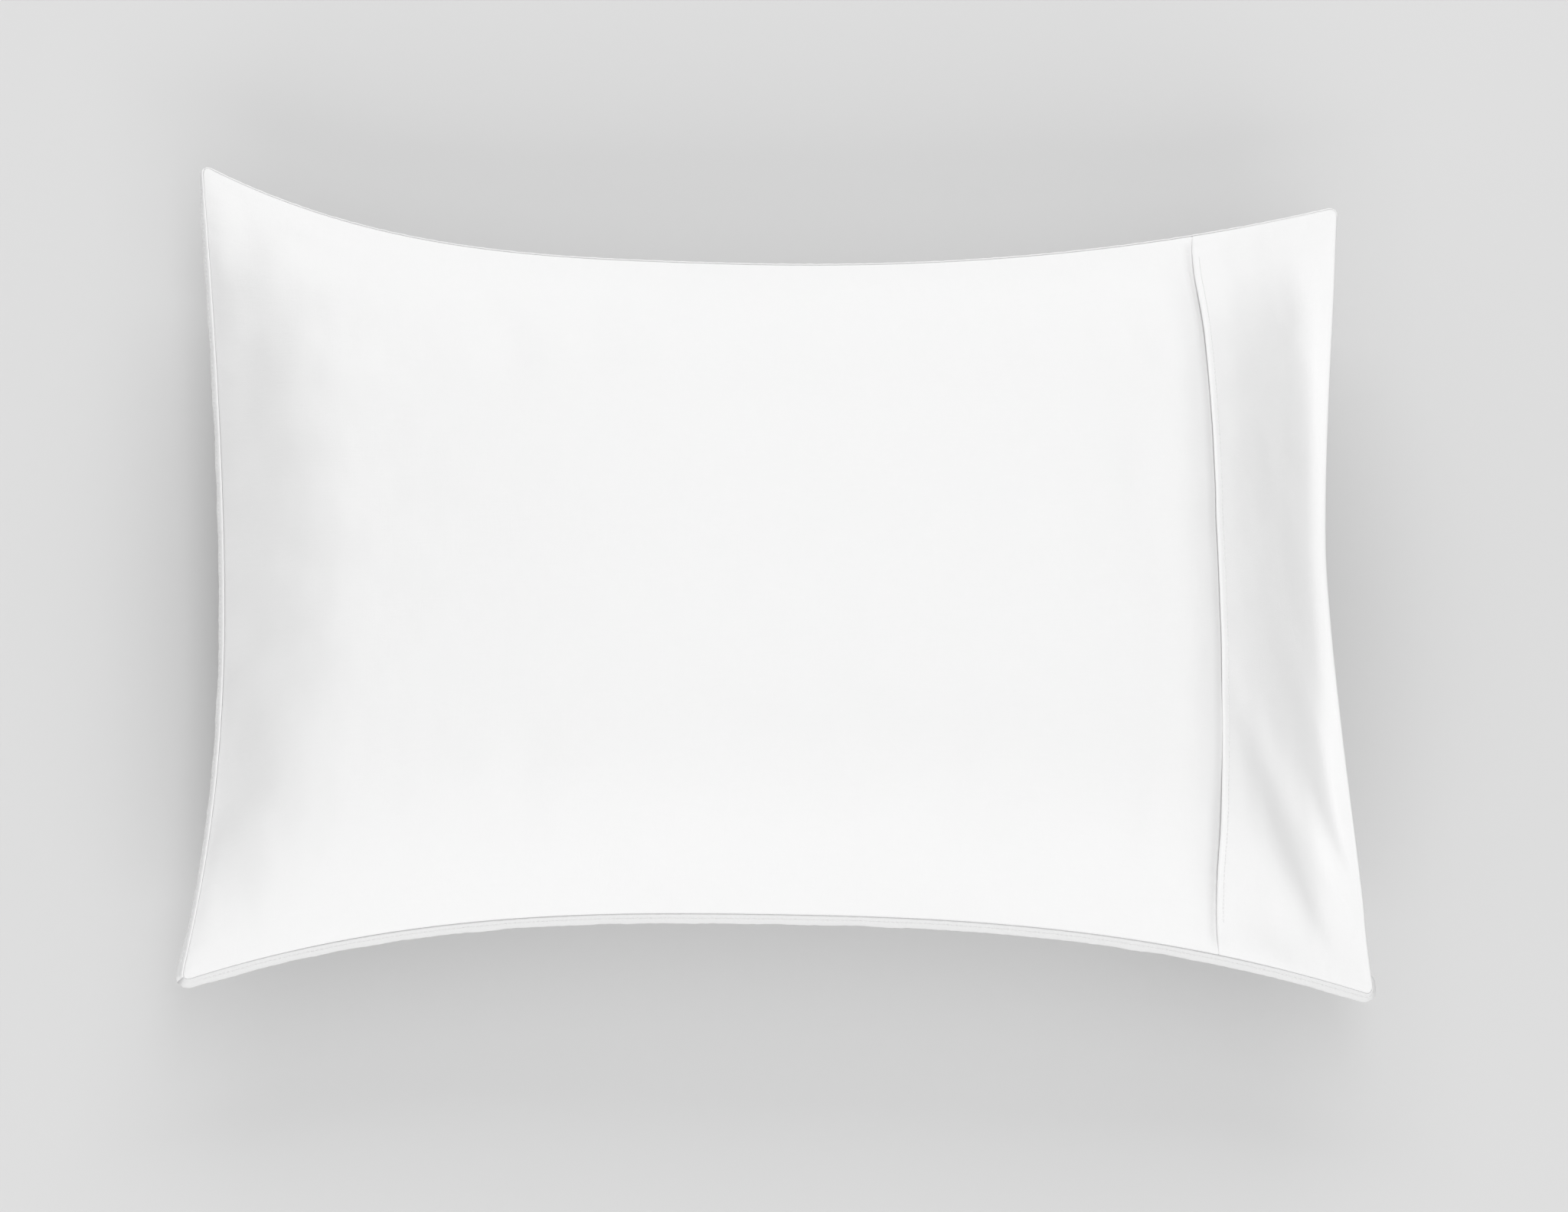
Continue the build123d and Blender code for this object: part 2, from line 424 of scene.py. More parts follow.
sim_along, sim_across = np.meshgrid(np.linspace(0, 1, round(LENGTH / SIM_STEP) + 1),
                                    np.linspace(0, 1, round(WIDTH / SIM_STEP) + 1), indexing="ij")
sim_x = closed_end(sim_across) + (mouth_end(sim_across) - closed_end(sim_across)) * sim_along
case_moves = blown_up(case_skin(FRONT, sim_x, sim_across), case_skin(BACK, sim_x, sim_across),
                      True, CASE_CAP)
insert_moves = blown_up(insert_skin(FRONT, sim_along, sim_across),
                        insert_skin(BACK, sim_along, sim_across), False, INSERT_CAP)


# Folds of the case

def fold(points, start, end, width, depth):
    """A straight valley from start to end in plan: its depth at each point, fading at both ends."""
    start, end = np.array(start), np.array(end)
    run = end - start
    offset = points[..., :2] - start
    share = np.clip(offset @ run / (run @ run), 0, 1)
    away = np.linalg.norm(offset - share[..., None] * run, axis=-1)
    return depth * np.sin(pi * np.clip(share, 0.02, 0.98)) ** 0.7 * bell(away, width)


# Each fold of the front: its two ends, its width and its depth. A negative depth is a ridge.
FOLDS = [
    ((0.272, -0.093), (0.374, -0.252), 0.0125, 0.0092),
    ((0.322, -0.116), (0.363, -0.218), 0.0070, -0.0034),
    ((0.332, -0.070), (0.3635, -0.215), 0.0048, 0.0026),
    ((0.286, -0.150), (0.340, -0.242), 0.0120, -0.0028),
    ((0.300, -0.010), (0.340, -0.120), 0.0110, 0.0022),
    ((0.292, 0.110), (0.330, 0.010), 0.0130, 0.0020),
    ((0.300, 0.195), (0.352, 0.140), 0.0080, 0.0014),
    ((-0.228, -0.128), (-0.160, -0.202), 0.0130, 0.0020),
    ((-0.262, -0.150), (-0.200, -0.212), 0.0110, 0.0012),
    ((-0.160, -0.200), (-0.060, -0.216), 0.0130, 0.0016),
    ((-0.330, 0.230), (-0.270, 0.200), 0.0090, -0.0018),
    ((-0.318, 0.190), (-0.280, 0.120), 0.0150, 0.0010),
    ((-0.347, 0.236), (-0.326, 0.020), 0.0140, 0.0024),
    ((-0.348, -0.222), (-0.332, -0.050), 0.0130, 0.0020),
    ((0.178, -0.206), (0.186, -0.168), 0.0090, 0.0016),
    ((0.212, -0.196), (0.216, -0.140), 0.0080, 0.0014),
    ((0.190, 0.192), (0.200, 0.110), 0.0100, 0.0014),
    ((0.204, 0.090), (0.207, 0.000), 0.0100, 0.0010),
    ((0.222, 0.160), (0.232, 0.110), 0.0090, 0.0012),
]


# The groove beside the hem: its depth, how far into the panel it starts, how far before the hem it
# is deepest, how far into the cuff it fades, the swell of the panel before it, and how quickly the
# cuff's edge rolls up out of it
GROOVE_DEPTH = 0.0036
GROOVE_REACH = 0.0062
GROOVE_FLOOR = 0.0016
GROOVE_FADE = 0.020
PANEL_SWELL = 0.0028
CUFF_EDGE_ROLL = 0.0009


def hem_groove(across, past_hem):
    """How far the cloth sinks beside the hem: the panel swells, then dips to the cuff's raised edge."""
    near_end, far_end = bell(across - 0.12, 0.08), bell(across - 0.87, 0.08)
    depth = GROOVE_DEPTH + 0.0028 * near_end + 0.0020 * far_end - 0.0012 * bell(across - 0.27, 0.05)
    reach = GROOVE_REACH + 0.0028 * near_end
    share = np.clip((past_hem + reach) / (reach - GROOVE_FLOOR), 0, 1)
    panel_dip = depth * share**1.5 * (1 - 0.3333 * (share - share**2))
    cuff_dip = depth * (0.35 + 0.45 * np.exp(-np.maximum(past_hem, 0) / CUFF_EDGE_ROLL))
    cuff_dip = cuff_dip * (1 - ramp(past_hem, 0, GROOVE_FADE))
    return np.where(past_hem < 0, panel_dip, cuff_dip) - PANEL_SWELL * bell(past_hem + 0.020, 0.015)


# How near the seams and the mouth the cloth is held still, and how deep its small shapes are
SEAM_HOLD = 0.016
MOUTH_HOLD = 0.04
HEM_GATHER = 0.0006
SEAM_GATHER = 0.00030
SLACK_WAVE = 0.0008
SLACK_CREASE = 0.00025
DEEPEST_FOLD = 0.45
LIP_TURN_UP = 0.0032
LIP_ROLL = 0.0006


def case_surface(side, x, across):
    """The finished outer surface of the case at x and the share across: skin, blown-up cloth and folds."""
    points = case_skin(side, x, across)
    height = np.abs(points[..., 2] - SEAM_Z)
    along = (x - closed_end(across)) / (mouth_end(across) - closed_end(across))
    y = across * WIDTH
    from_side = np.minimum(across, 1 - across) * WIDTH
    from_closed, from_mouth = x - closed_end(across), mouth_end(across) - x
    moved = sampled(case_moves[0 if side == FRONT else 1], along, across)
    points = points + moved * ramp(from_mouth, 0, MOUTH_HOLD)[..., None]
    inner = ramp(from_side, 0, SEAM_HOLD) * ramp(from_closed, 0, SEAM_HOLD)
    past_hem = x - hem_line(across)
    drop = np.zeros(x.shape)
    if side == FRONT:
        for one in FOLDS:
            drop += fold(points, *one)
    # The groove beside the cuff, the rolled edge of the cuff, and the gathers across them
    drop += hem_groove(across, past_hem) * ramp(from_side, 0.001, 0.012)
    gathered = 0.15 + 0.85 * bell(across - 0.09, 0.07) + 0.25 * bell(across - 0.90, 0.07)
    drop += HEM_GATHER * ripples(y, 0.0078, 21) * gathered * bell(past_hem + 0.003, 0.005) * inner
    # Small gathers along the sewn edges, and slack cloth towards both ends
    sewn_side = bell(from_side - 0.004, 0.006) * ramp(from_side, 0, 0.003)
    sewn_end = bell(from_closed - 0.004, 0.006) * ramp(from_closed, 0, 0.003)
    gathers = ripples(x, 0.012, 41 + side) * sewn_side + ripples(y, 0.013, 43 + side) * sewn_end
    drop += SEAM_GATHER * gathers
    slack = ramp(np.abs(x), 0.14, 0.30) * inner * ramp(from_mouth, 0.008, 0.045)
    uneven = SLACK_WAVE * waves(x, y, 0.060, 11 + side) + SLACK_CREASE * waves(x, 0.5 * y, 0.018, 14)
    drop += uneven * slack
    # No fold sinks deeper than about half of the cloth's height over the seams
    room = DEEPEST_FOLD * height + 1e-6
    drop = np.where(drop > 0, room * np.tanh(drop / room), drop)
    # The last centimetre of the hem lies flatter and turns up a little at its folded lip
    turned_up = ramp(-from_mouth, -0.014, -0.001) ** 1.5 * ramp(from_side, 0.01, 0.07)
    drop -= LIP_TURN_UP * turned_up + LIP_ROLL * bell(from_mouth - 0.0012, 0.0016) * inner
    points[..., 2] -= side * drop
    return points


# Meshes

def add_piece(name, points, faces, uv, material, body):
    """A smooth mesh with its flat cloth coordinates, which rides on a body."""
    mesh = bpy.data.meshes.new(name)
    mesh.from_pydata(np.asarray(points).tolist(), [], [list(map(int, face)) for face in faces])
    layer = mesh.uv_layers.new(name="cloth")
    loops = np.zeros(len(mesh.loops), np.int32)
    mesh.loops.foreach_get("vertex_index", loops)
    layer.data.foreach_set("uv", np.asarray(uv, float)[loops].ravel())
    mesh.polygons.foreach_set("use_smooth", np.ones(len(mesh.polygons), bool))
    mesh.materials.append(material)
    mesh.update()
    piece = bpy.data.objects.new(name, mesh)
    bpy.context.collection.objects.link(piece)
    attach(piece, body)
    return piece


def finish_piece(piece, slot, *nodes):
    """The piece stands for its CAD nodes, which it hides, and gets a mesh of its own if it rides on the case.
    """
    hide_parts(*nodes)
    if piece["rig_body"] == "case":
        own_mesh(piece)
    return piece


def normals(points):
    """Unit normals of a grid of points, on the side of +Z for a level grid."""
    return unit(np.cross(np.gradient(points, axis=0), np.gradient(points, axis=1)))


def thinned(cloth, share):
    """Cloth that is thin along its sewn edges, where the share is 0."""
    return cloth * (SEWN_THIN + (1 - SEWN_THIN) * share)


def cloth_piece(name, surface, cloth_uv, thickness, side, material, body):
    """A grid of points as a closed sheet: outer face, inner face, and a rounded rim between them."""
    rows, columns = surface.shape[:2]
    thick = np.broadcast_to(thickness, (rows, columns))[..., None]
    n = normals(surface) * side
    inner = surface - n * thick
    rim = [(i, 0) for i in range(rows)] + [(rows - 1, j) for j in range(1, columns)]
    rim += [(i, columns - 1) for i in range(rows - 2, -1, -1)] + [(0, j) for j in range(columns - 2, 0, -1)]
    i, j = np.array(rim).T
    middle = (surface + inner)[i, j] / 2
    outward = unit(np.cross(np.roll(middle, -1, axis=0) - np.roll(middle, 1, axis=0), n[i, j]))
    middle = middle + side * outward * thick[i, j] / 2
    count = rows * columns
    points = np.concatenate([surface.reshape(-1, 3), inner.reshape(-1, 3), middle])
    faces = [grid_faces(rows, columns, 0, side == BACK), grid_faces(rows, columns, count, side == FRONT)]
    top, edge = i * columns + j, np.arange(len(rim)) + 2 * count
    for upper, lower in ((top, edge), (edge, top + count)):
        ring = np.stack([upper, lower, np.roll(lower, -1), np.roll(upper, -1)], axis=-1)
        faces.append(ring if side == FRONT else ring[:, ::-1])
    uv = np.concatenate([cloth_uv.reshape(-1, 2), cloth_uv.reshape(-1, 2), cloth_uv[i, j]])
    return add_piece(name, points, np.concatenate(faces), uv, material, body)


def tube_faces(rings, around, closed=False, start=0):
    """Quads that join rings of points one after another."""
    index = start + np.arange(rings * around).reshape(rings, around)
    if closed:
        index = np.concatenate([index, index[:1]])
    side = np.roll(index, -1, axis=1)
    return np.stack([index[:-1], side[:-1], side[1:], index[1:]], axis=-1).reshape(-1, 4)


def stitch_piece(name, starts, ends, off, body, radius=THREAD):
    """Separate short stitches of thread from starts to ends: off is the way out of the cloth."""
    shares = np.array([0.0, 0.22, 0.78, 1.0])
    lifts = np.array([-0.7, 0.5, 0.5, -0.7]) * radius
    sizes = np.array([0.6, 1.0, 1.0, 0.6]) * radius
    rings, around = len(shares), 6
    angles = np.arange(around) * 2 * pi / around
    run = unit(ends - starts)
    off = unit(off - (off * run).sum(-1, keepdims=True) * run)
    side = np.cross(run, off)
    middle = starts[:, None] + (ends - starts)[:, None] * shares[None, :, None]
    middle = middle + off[:, None] * lifts[None, :, None]
    ring = off[:, None] * np.cos(angles)[None, :, None] + side[:, None] * np.sin(angles)[None, :, None]
    points = middle[:, :, None] + ring[:, None] * sizes[None, :, None, None]
    faces = []
    for stitch in range(len(starts)):
        first, last = stitch * rings * around, (stitch + 1) * rings * around
        faces += tube_faces(rings, around, start=first).tolist()
        faces += [list(range(first, first + around))[::-1], list(range(last - around, last))]
    turn = np.broadcast_to(np.arange(around) * radius, points.shape[:3])
    length = np.broadcast_to((shares * STITCH)[None, :, None], points.shape[:3])
    uv = np.stack([length, turn], axis=-1).reshape(-1, 2)
    return add_piece(name, points.reshape(-1, 3), faces, uv, SEWING, body)


def running_stitches(points, off, pitch=STITCH, share=0.8):
    """The starts and ends of a row of stitches along a line, and the way out of the cloth at each."""
    line = np.concatenate([points, off], axis=1)
    total = gone(points)[-1]
    at = np.arange(int(total / pitch)) * pitch
    starts, ends = read_line(line, at), read_line(line, at + pitch * share)
    return starts[:, :3], ends[:, :3], starts[:, 3:]


class Nodes:
    """A short way to make and join shader nodes."""

    def __init__(self, material):
        material.use_nodes = True
        self.tree = material.node_tree
        self.shader = self.tree.nodes["Principled BSDF"]

    def add(self, kind, inputs=None, **settings):
        node = self.tree.nodes.new(kind)
        for key, value in settings.items():
            setattr(node, key, value)
        for key, value in (inputs or {}).items():
            if isinstance(value, bpy.types.NodeSocket):
                self.tree.links.new(value, node.inputs[key])
            else:
                node.inputs[key].default_value = value
        return node

    def math(self, operation, a, b=0.0):
        return self.add("ShaderNodeMath", {0: a, 1: b}, operation=operation).outputs[0]


def cloth_material(name, colour, roughness, sheen, pitch, twill=False, tint=0.012, relief=1.0):
    """Woven cloth: threads both ways at the given pitch, uneven threads and soft colour changes."""
    material = bpy.data.materials.new(name)
    n = Nodes(material)
    place = n.add("ShaderNodeUVMap", uv_map="cloth").outputs["UV"]
    split = n.add("ShaderNodeSeparateXYZ", {0: place})
    turns = 2 * pi / pitch
    warp_phase = n.math("MULTIPLY", split.outputs["X"], turns)
    weft_phase = n.math("MULTIPLY", split.outputs["Y"], turns)
    if twill:
        warp_phase = n.math("ADD", warp_phase, weft_phase)
    warp, weft = n.math("SINE", warp_phase), n.math("SINE", weft_phase)
    weave = n.math("ADD", warp, n.math("MULTIPLY", weft, 0.3)) if twill else n.math("MULTIPLY", warp, weft)
    slubs = []
    for scale in ((40.0, 900.0, 1.0), (900.0, 40.0, 1.0)):
        stretched = n.add("ShaderNodeMapping", {"Vector": place, "Scale": scale}).outputs[0]
        noise = n.add("ShaderNodeTexNoise", {"Vector": stretched, "Scale": 1.0, "Detail": 3.0})
        slubs.append(noise.outputs[0])
    creases = n.add("ShaderNodeTexNoise",
                    {"Vector": place, "Scale": 60.0, "Detail": 5.0, "Roughness": 0.55})
    threads = n.math("ADD", n.math("MULTIPLY", weave, 0.35), n.math("ADD", slubs[0], slubs[1]))
    fine = n.add("ShaderNodeBump", {"Strength": 0.5 * relief, "Distance": 0.00012, "Height": threads})
    soft = n.add("ShaderNodeBump", {"Strength": 0.45 * relief, "Distance": 0.0006,
                                    "Height": creases.outputs[0], "Normal": fine.outputs[0]})
    n.tree.links.new(soft.outputs[0], n.shader.inputs["Normal"])
    mottle = n.add("ShaderNodeTexNoise", {"Vector": place, "Scale": 22.0, "Detail": 4.0}).outputs[0]
    shade = n.math("ADD", n.math("MULTIPLY", slubs[0], 0.5), n.math("MULTIPLY", mottle, 0.5))
    tints = n.add("ShaderNodeValToRGB", {"Fac": shade})
    for stop, factor in zip(tints.color_ramp.elements, (1 - tint, 1 + tint)):
        stop.color = tuple(min(c * factor, 1.0) for c in colour) + (1.0,)
    n.tree.links.new(tints.outputs["Color"], n.shader.inputs["Base Color"])
    n.shader.inputs["Roughness"].default_value = roughness
    n.shader.inputs["Sheen Weight"].default_value = sheen
    n.shader.inputs["Sheen Roughness"].default_value = 0.4
    n.shader.inputs["Specular IOR Level"].default_value = 0.3
    return material


COTTON = cloth_material("white_cotton", (0.90, 0.90, 0.90), 0.60, 0.10, 0.00045)
# The same white cotton in a darker grey: painted shade for the near seam band, which the lights would
# otherwise leave too bright
PAINTED_SHADE_BAND_COTTON = cloth_material("band_cotton_painted_shade", (0.80, 0.80, 0.80), 0.65, 0.10, 0.00045)
TICKING = cloth_material("twill_ticking", (0.86, 0.86, 0.85), 0.72, 0.12, 0.0011, True, 0.02, 1.4)
PIPING = cloth_material("piping_cotton", (0.88, 0.88, 0.87), 0.70, 0.15, 0.0006, True, 0.02)
SEWING = cloth_material("sewing_thread", (0.88, 0.88, 0.88), 0.55, 0.20, 0.0003, True, 0.02)
TAPE = cloth_material("label_satin", (0.86, 0.86, 0.86), 0.35, 0.10, 0.0004)
FIBRE = cloth_material("polyester_fibre", (0.90, 0.90, 0.90), 0.90, 0.40, 0.004, False, 0.04, 2.5)


# The case's panels and cuffs

across_places = (stations(WIDTH, 0.0010, 0.0010, 0.0029) / WIDTH)[None, :]
from_side_places = np.minimum(across_places, 1 - across_places) * WIDTH


TUCK = 0.0025
TUCK_DROP = 0.0012
TUCK_NARROW = 0.004
HEM_STITCH_IN = 0.004


def panel_grid(side):
    """The panel from the closed end to its edge, which is tucked in under the cuff."""
    shares = stations(1.0, 0.0015, 0.0010, 0.0068)[:, None]
    start, hem = closed_end(across_places), hem_line(across_places)
    x = start + (hem + TUCK - start) * shares
    tucked = ramp(x - hem, -0.0010, 0.0015)
    across = np.clip(across_places, TUCK_NARROW * tucked, 1 - TUCK_NARROW * tucked)
    surface = case_surface(side, np.minimum(x, hem - 1e-6), across)
    surface[..., 0] += np.maximum(x - hem, 0)
    surface[..., 2] -= side * TUCK_DROP * tucked
    thickness = thinned(CLOTH, ramp(from_side_places, 0, 0.004) * ramp(x - start, 0, 0.004))
    flat_x, flat_y = np.broadcast_arrays(shares * (CASE_FLAT[0] - CUFF_FLAT), across_places * CASE_FLAT[1])
    uv = np.stack([flat_x, flat_y], axis=-1)
    return surface if side == FRONT else laid_on(surface, 0.0), uv, thickness


def cuff_grid(side):
    """The cuff from its rolled edge at the hem to the folded lip of the mouth."""
    shares = stations(1.0, 0.006, 0.006, 0.026)[:, None]
    start = hem_line(across_places)
    x = start + (mouth_end(across_places) - start) * shares
    across = across_places + 0 * x
    surface = case_surface(side, x, across)
    surface[..., 2] += side * CUFF_LIFT * ramp(from_side_places, 0, 0.006)
    thickness = thinned(CUFF_CLOTH, ramp(from_side_places, 0, 0.006)) + 0 * x
    uv = np.stack([CASE_FLAT[0] - CUFF_FLAT * (1 - shares) + 0 * x, across * CASE_FLAT[1]], axis=-1)
    return surface, uv, thickness


def make_panel(side, word):
    surface, uv, thickness = panel_grid(side)
    panel = cloth_piece(f"case_{word}", surface, uv, thickness, side, COTTON, "case")
    return finish_piece(panel, "case_cloth", f"case_{word}_panel")


def make_cuff(side, word):
    """A cuff and the row of thread that holds it, 4 mm in from its rolled edge."""
    surface, uv, thickness = cuff_grid(side)
    cuff = cloth_piece(f"cuff_{word}", surface, uv, thickness, side, COTTON, "case")
    finish_piece(cuff, "case_cloth", f"{word}_cuff")
    across = np.linspace(0.035, 0.965, 200)[None, :]
    x = hem_line(across) + HEM_STITCH_IN + np.array([-0.001, 0.0, 0.001])[:, None]
    strip = case_surface(side, x, across + 0 * x)
    strip[..., 2] += side * CUFF_LIFT
    starts, ends, off = running_stitches(strip[1], normals(strip)[1] * side)
    row = stitch_piece(f"hem_thread_{word}", starts, ends, off, "case")
    finish_piece(row, "case_thread", f"{word}_cuff_stitching")


for side, word in ((FRONT, "front"), (BACK, "back")):
    make_panel(side, word)
    make_cuff(side, word)


# The seam bands: one band in shape, continuous round the closed corners, cut between the three seams

BAND_STEP = 0.0017
BAND_DROP = 0.0003
BAND_FADE = 0.010
MOUTH_TURN = 0.022
CORNER_TURN = 0.03

# The band's cross-section: the share of its width down it, and of its thickness off it. It dips
# where the row of stitches pulls it in.
BAND_SECTION = np.array([
    (0.00, 0.50), (0.02, 0.85), (0.08, 1.00), (0.28, 1.00), (BAND_STITCH_SHARE, 0.78), (0.44, 1.00),
    (0.72, 0.97), (0.88, 1.00), (0.96, 0.90), (1.00, 0.50), (0.96, 0.10), (0.88, 0.00), (0.44, 0.00),
    (BAND_STITCH_SHARE, 0.12), (0.28, 0.00), (0.08, 0.00), (0.02, 0.15),
])


def band_line():
    """The sewn edge of the case in plan, from just inside the mouth round to just inside it again."""
    turn = np.linspace(MOUTH_TURN, 0, 14)
    x = stations(LENGTH, 0.0008, 0.0008, 0.004)[::-1]
    across = stations(1.0, 0.0015, 0.0015, 0.0075)[1:-1]
    start, end = closed_end(np.zeros(1)), mouth_end(np.zeros(1))
    along = start + (end - start) * x / LENGTH
    edge_x = [mouth_end(turn)[:-1], along, closed_end(across), along[::-1], mouth_end(1 - turn[::-1])[1:]]
    edge_across = [turn[:-1], 0 * x, across, 0 * x + 1, 1 - turn[::-1][1:]]
    line = case_skin(FRONT, np.concatenate(edge_x), np.concatenate(edge_across))
    line[:, 2] = SEAM_Z - BAND_DROP
    return line


def make_bands():
    """The three seam bands and the row of stitches along them. The band leans out and curls under."""
    line = band_line()
    total = gone(line)[-1]
    spots = np.linspace(0, total, round(total / BAND_STEP) + 1)
    line = read_line(line, spots)
    tangent = unit(np.gradient(line, axis=0))
    level = np.stack([-tangent[:, 1], tangent[:, 0], 0 * spots], axis=-1)
    near_tip = spots[np.argmin(line[:, 0] + line[:, 1])]
    far_tip = spots[np.argmin(line[:, 0] - line[:, 1])]
    turns_at = [near_tip, near_tip + CORNER_TURN, far_tip - CORNER_TURN, far_tip]
    lean = np.interp(spots, turns_at, [NEAR_LEAN, END_LEAN, END_LEAN, FAR_LEAN])
    lean = lean + 0.04 * ripples(spots, 0.045, 5)
    curl = np.interp(spots, turns_at, [NEAR_CURL, END_CURL, END_CURL, FAR_CURL])
    from_end = np.minimum(spots, total - spots)
    tapered = 0.12 + 0.88 * np.sqrt(1 - np.clip(1 - from_end / BAND_FADE, 0, 1) ** 2)
    width = BAND_WIDTH * tapered + 0.0002 * ripples(spots, 0.030, 6)
    puff = BAND_CLOTH * (1 + 0.12 * ripples(spots, 0.009, 7))

    def on_band(share, lift):
        """The band's points at a share of its width down it and of its thickness off it."""
        turn = lean + curl * share
        out = width * (np.sin(turn) - np.sin(lean)) / curl + lift * puff * np.sin(turn)
        up = width * (np.cos(turn) - np.cos(lean)) / curl + lift * puff * np.cos(turn)
        return line + level * out[:, None] + np.array([0, 0, 1]) * up[:, None]

    rings = np.stack([on_band(share, lift) for share, lift in BAND_SECTION], axis=1)
    thread_line = on_band(BAND_STITCH_SHARE, 0.85)
    off_it = on_band(BAND_STITCH_SHARE, 1.0) - on_band(BAND_STITCH_SHARE, 0.0)
    cuts = [0, *(int(np.searchsorted(spots, tip)) for tip in (near_tip, far_tip)), len(spots) - 1]
    bands = []
    thread_rows = []
    for node, first, last in zip(("near_side_seam", "closed_end_seam", "far_side_seam"), cuts, cuts[1:]):
        part = rings[first:last + 1]
        count, around = part.shape[:2]
        faces = tube_faces(count, around).tolist()
        faces += [list(range(around))[::-1], list(range((count - 1) * around, count * around))]
        down_it = BAND_SECTION[:, 0] * BAND_WIDTH
        down_it, along_it = np.broadcast_arrays(down_it, spots[first:last + 1, None])
        uv = np.stack([along_it, down_it], axis=-1).reshape(-1, 2)
        # Only the near side's band gets the darker cotton, as painted shade; the other bands are plain white
        # cotton
        cloth = PAINTED_SHADE_BAND_COTTON if node == "near_side_seam" else COTTON
        band = add_piece(f"band_{node}", part.reshape(-1, 3), faces, uv, cloth, "case")
        bands.append(finish_piece(band, "case_cloth", node))
        inside = slice(first + 5, last - 4)
        thread_rows.append(running_stitches(thread_line[inside], off_it[inside]))
    thread = stitch_piece("seam_thread", *[np.concatenate(part) for part in zip(*thread_rows)], "case")
    return bands, finish_piece(thread, "case_thread", "case_seam_stitching")


bands, thread = make_bands()


# The case's care label

LABEL_END_IN = 0.001
LABEL_SEAM_IN = 0.0035
LABEL_FREE_IN = 0.0025
LABEL_OFF = 0.0003
LABEL_CURL = 0.0010


def make_label():
    """A blank label inside the back cuff, sewn into the near seam and curling a little."""
    u, v = np.meshgrid(np.linspace(0, 1, 22), np.linspace(0, 1, 26), indexing="ij")
    x = LABEL_LOW.x + LABEL_END_IN + (LABEL_HIGH.x - LABEL_LOW.x - 2 * LABEL_END_IN) * u
    y = LABEL_LOW.y + LABEL_SEAM_IN + (LABEL_HIGH.y - LABEL_LOW.y - LABEL_SEAM_IN - LABEL_FREE_IN) * v
    base = case_surface(BACK, x, (y - near_side(x)) / (far_side(x) - near_side(x)))
    base[..., :2] = np.stack([x, y], axis=-1)
    curl = LABEL_CURL * ramp(v, 0.55, 1) * (1 + 0.5 * np.sin(pi * u)) + 0.0001 * waves(x, y, 0.02, 3)
    surface = base + normals(base) * (CUFF_CLOTH + LABEL_OFF + curl)[..., None]
    label = cloth_piece("case_label", surface, np.stack([x, y], axis=-1), TAPE_CLOTH, FRONT, TAPE, "case")
    finish_piece(label, "label_tape", "case_care_label")


make_label()


# The insert's cover

# About how long the filled insert is, which is near enough for the distance from its ends
TICKING_LENGTH = 0.62
TICKING_GATHER = 0.0006
TICKING_WAVE = 0.0007
TICKING_HOLD = 0.02


def ticking_surface(side, along, across):
    """The finished outer surface of the insert at shares along and across it."""
    points = insert_skin(side, along, across)
    points = points + sampled(insert_moves[0 if side == FRONT else 1], along, across)
    from_end = np.minimum(along, 1 - along) * (insert_end(across) - insert_start(across))
    from_side = np.minimum(across, 1 - across) * WIDTH
    x, y = points[..., 0], points[..., 1]
    end_gathers = ripples(y, 0.015, 51) * bell(from_end, 0.014) * ramp(from_end, 0, 0.003)
    side_gathers = ripples(x, 0.016, 52) * bell(from_side, 0.014) * ramp(from_side, 0, 0.003)
    inner = ramp(np.minimum(from_end, from_side), 0, TICKING_HOLD)
    wave = TICKING_WAVE * (1 + waves(x, y, 0.070, 53 + side)) * inner
    points[..., 2] -= side * (TICKING_GATHER * (end_gathers + side_gathers) + wave)
    return points


def make_cover(side, word):
    along = stations(1.0, 0.0018, 0.0018, 0.0085)[:, None]
    across = stations(WIDTH, 0.0012, 0.0012, 0.0042)[None, :] / WIDTH
    along, across = np.broadcast_arrays(along, across)
    from_end = np.minimum(along, 1 - along) * TICKING_LENGTH
    from_edge = np.minimum(from_end, np.minimum(across, 1 - across) * WIDTH)
    surface = ticking_surface(side, along, across)
    if side == BACK:
        surface = laid_on(surface, INSERT_FLOOR)
    uv = np.stack([along * INSERT_FLAT[0], across * INSERT_FLAT[1]], axis=-1)
    thickness = thinned(TICKING_CLOTH, ramp(from_edge, 0, 0.004))
    cover = cloth_piece(f"ticking_{word}", surface, uv, thickness, side, TICKING, "insert")
    return finish_piece(cover, "ticking_cloth", f"ticking_{word}_panel")


covers = {side: make_cover(side, word) for side, word in ((FRONT, "front"), (BACK, "back"))}


# The piping round the insert's seam

PIPING_STEP = 0.0026
PIPING_OUT = 0.0012


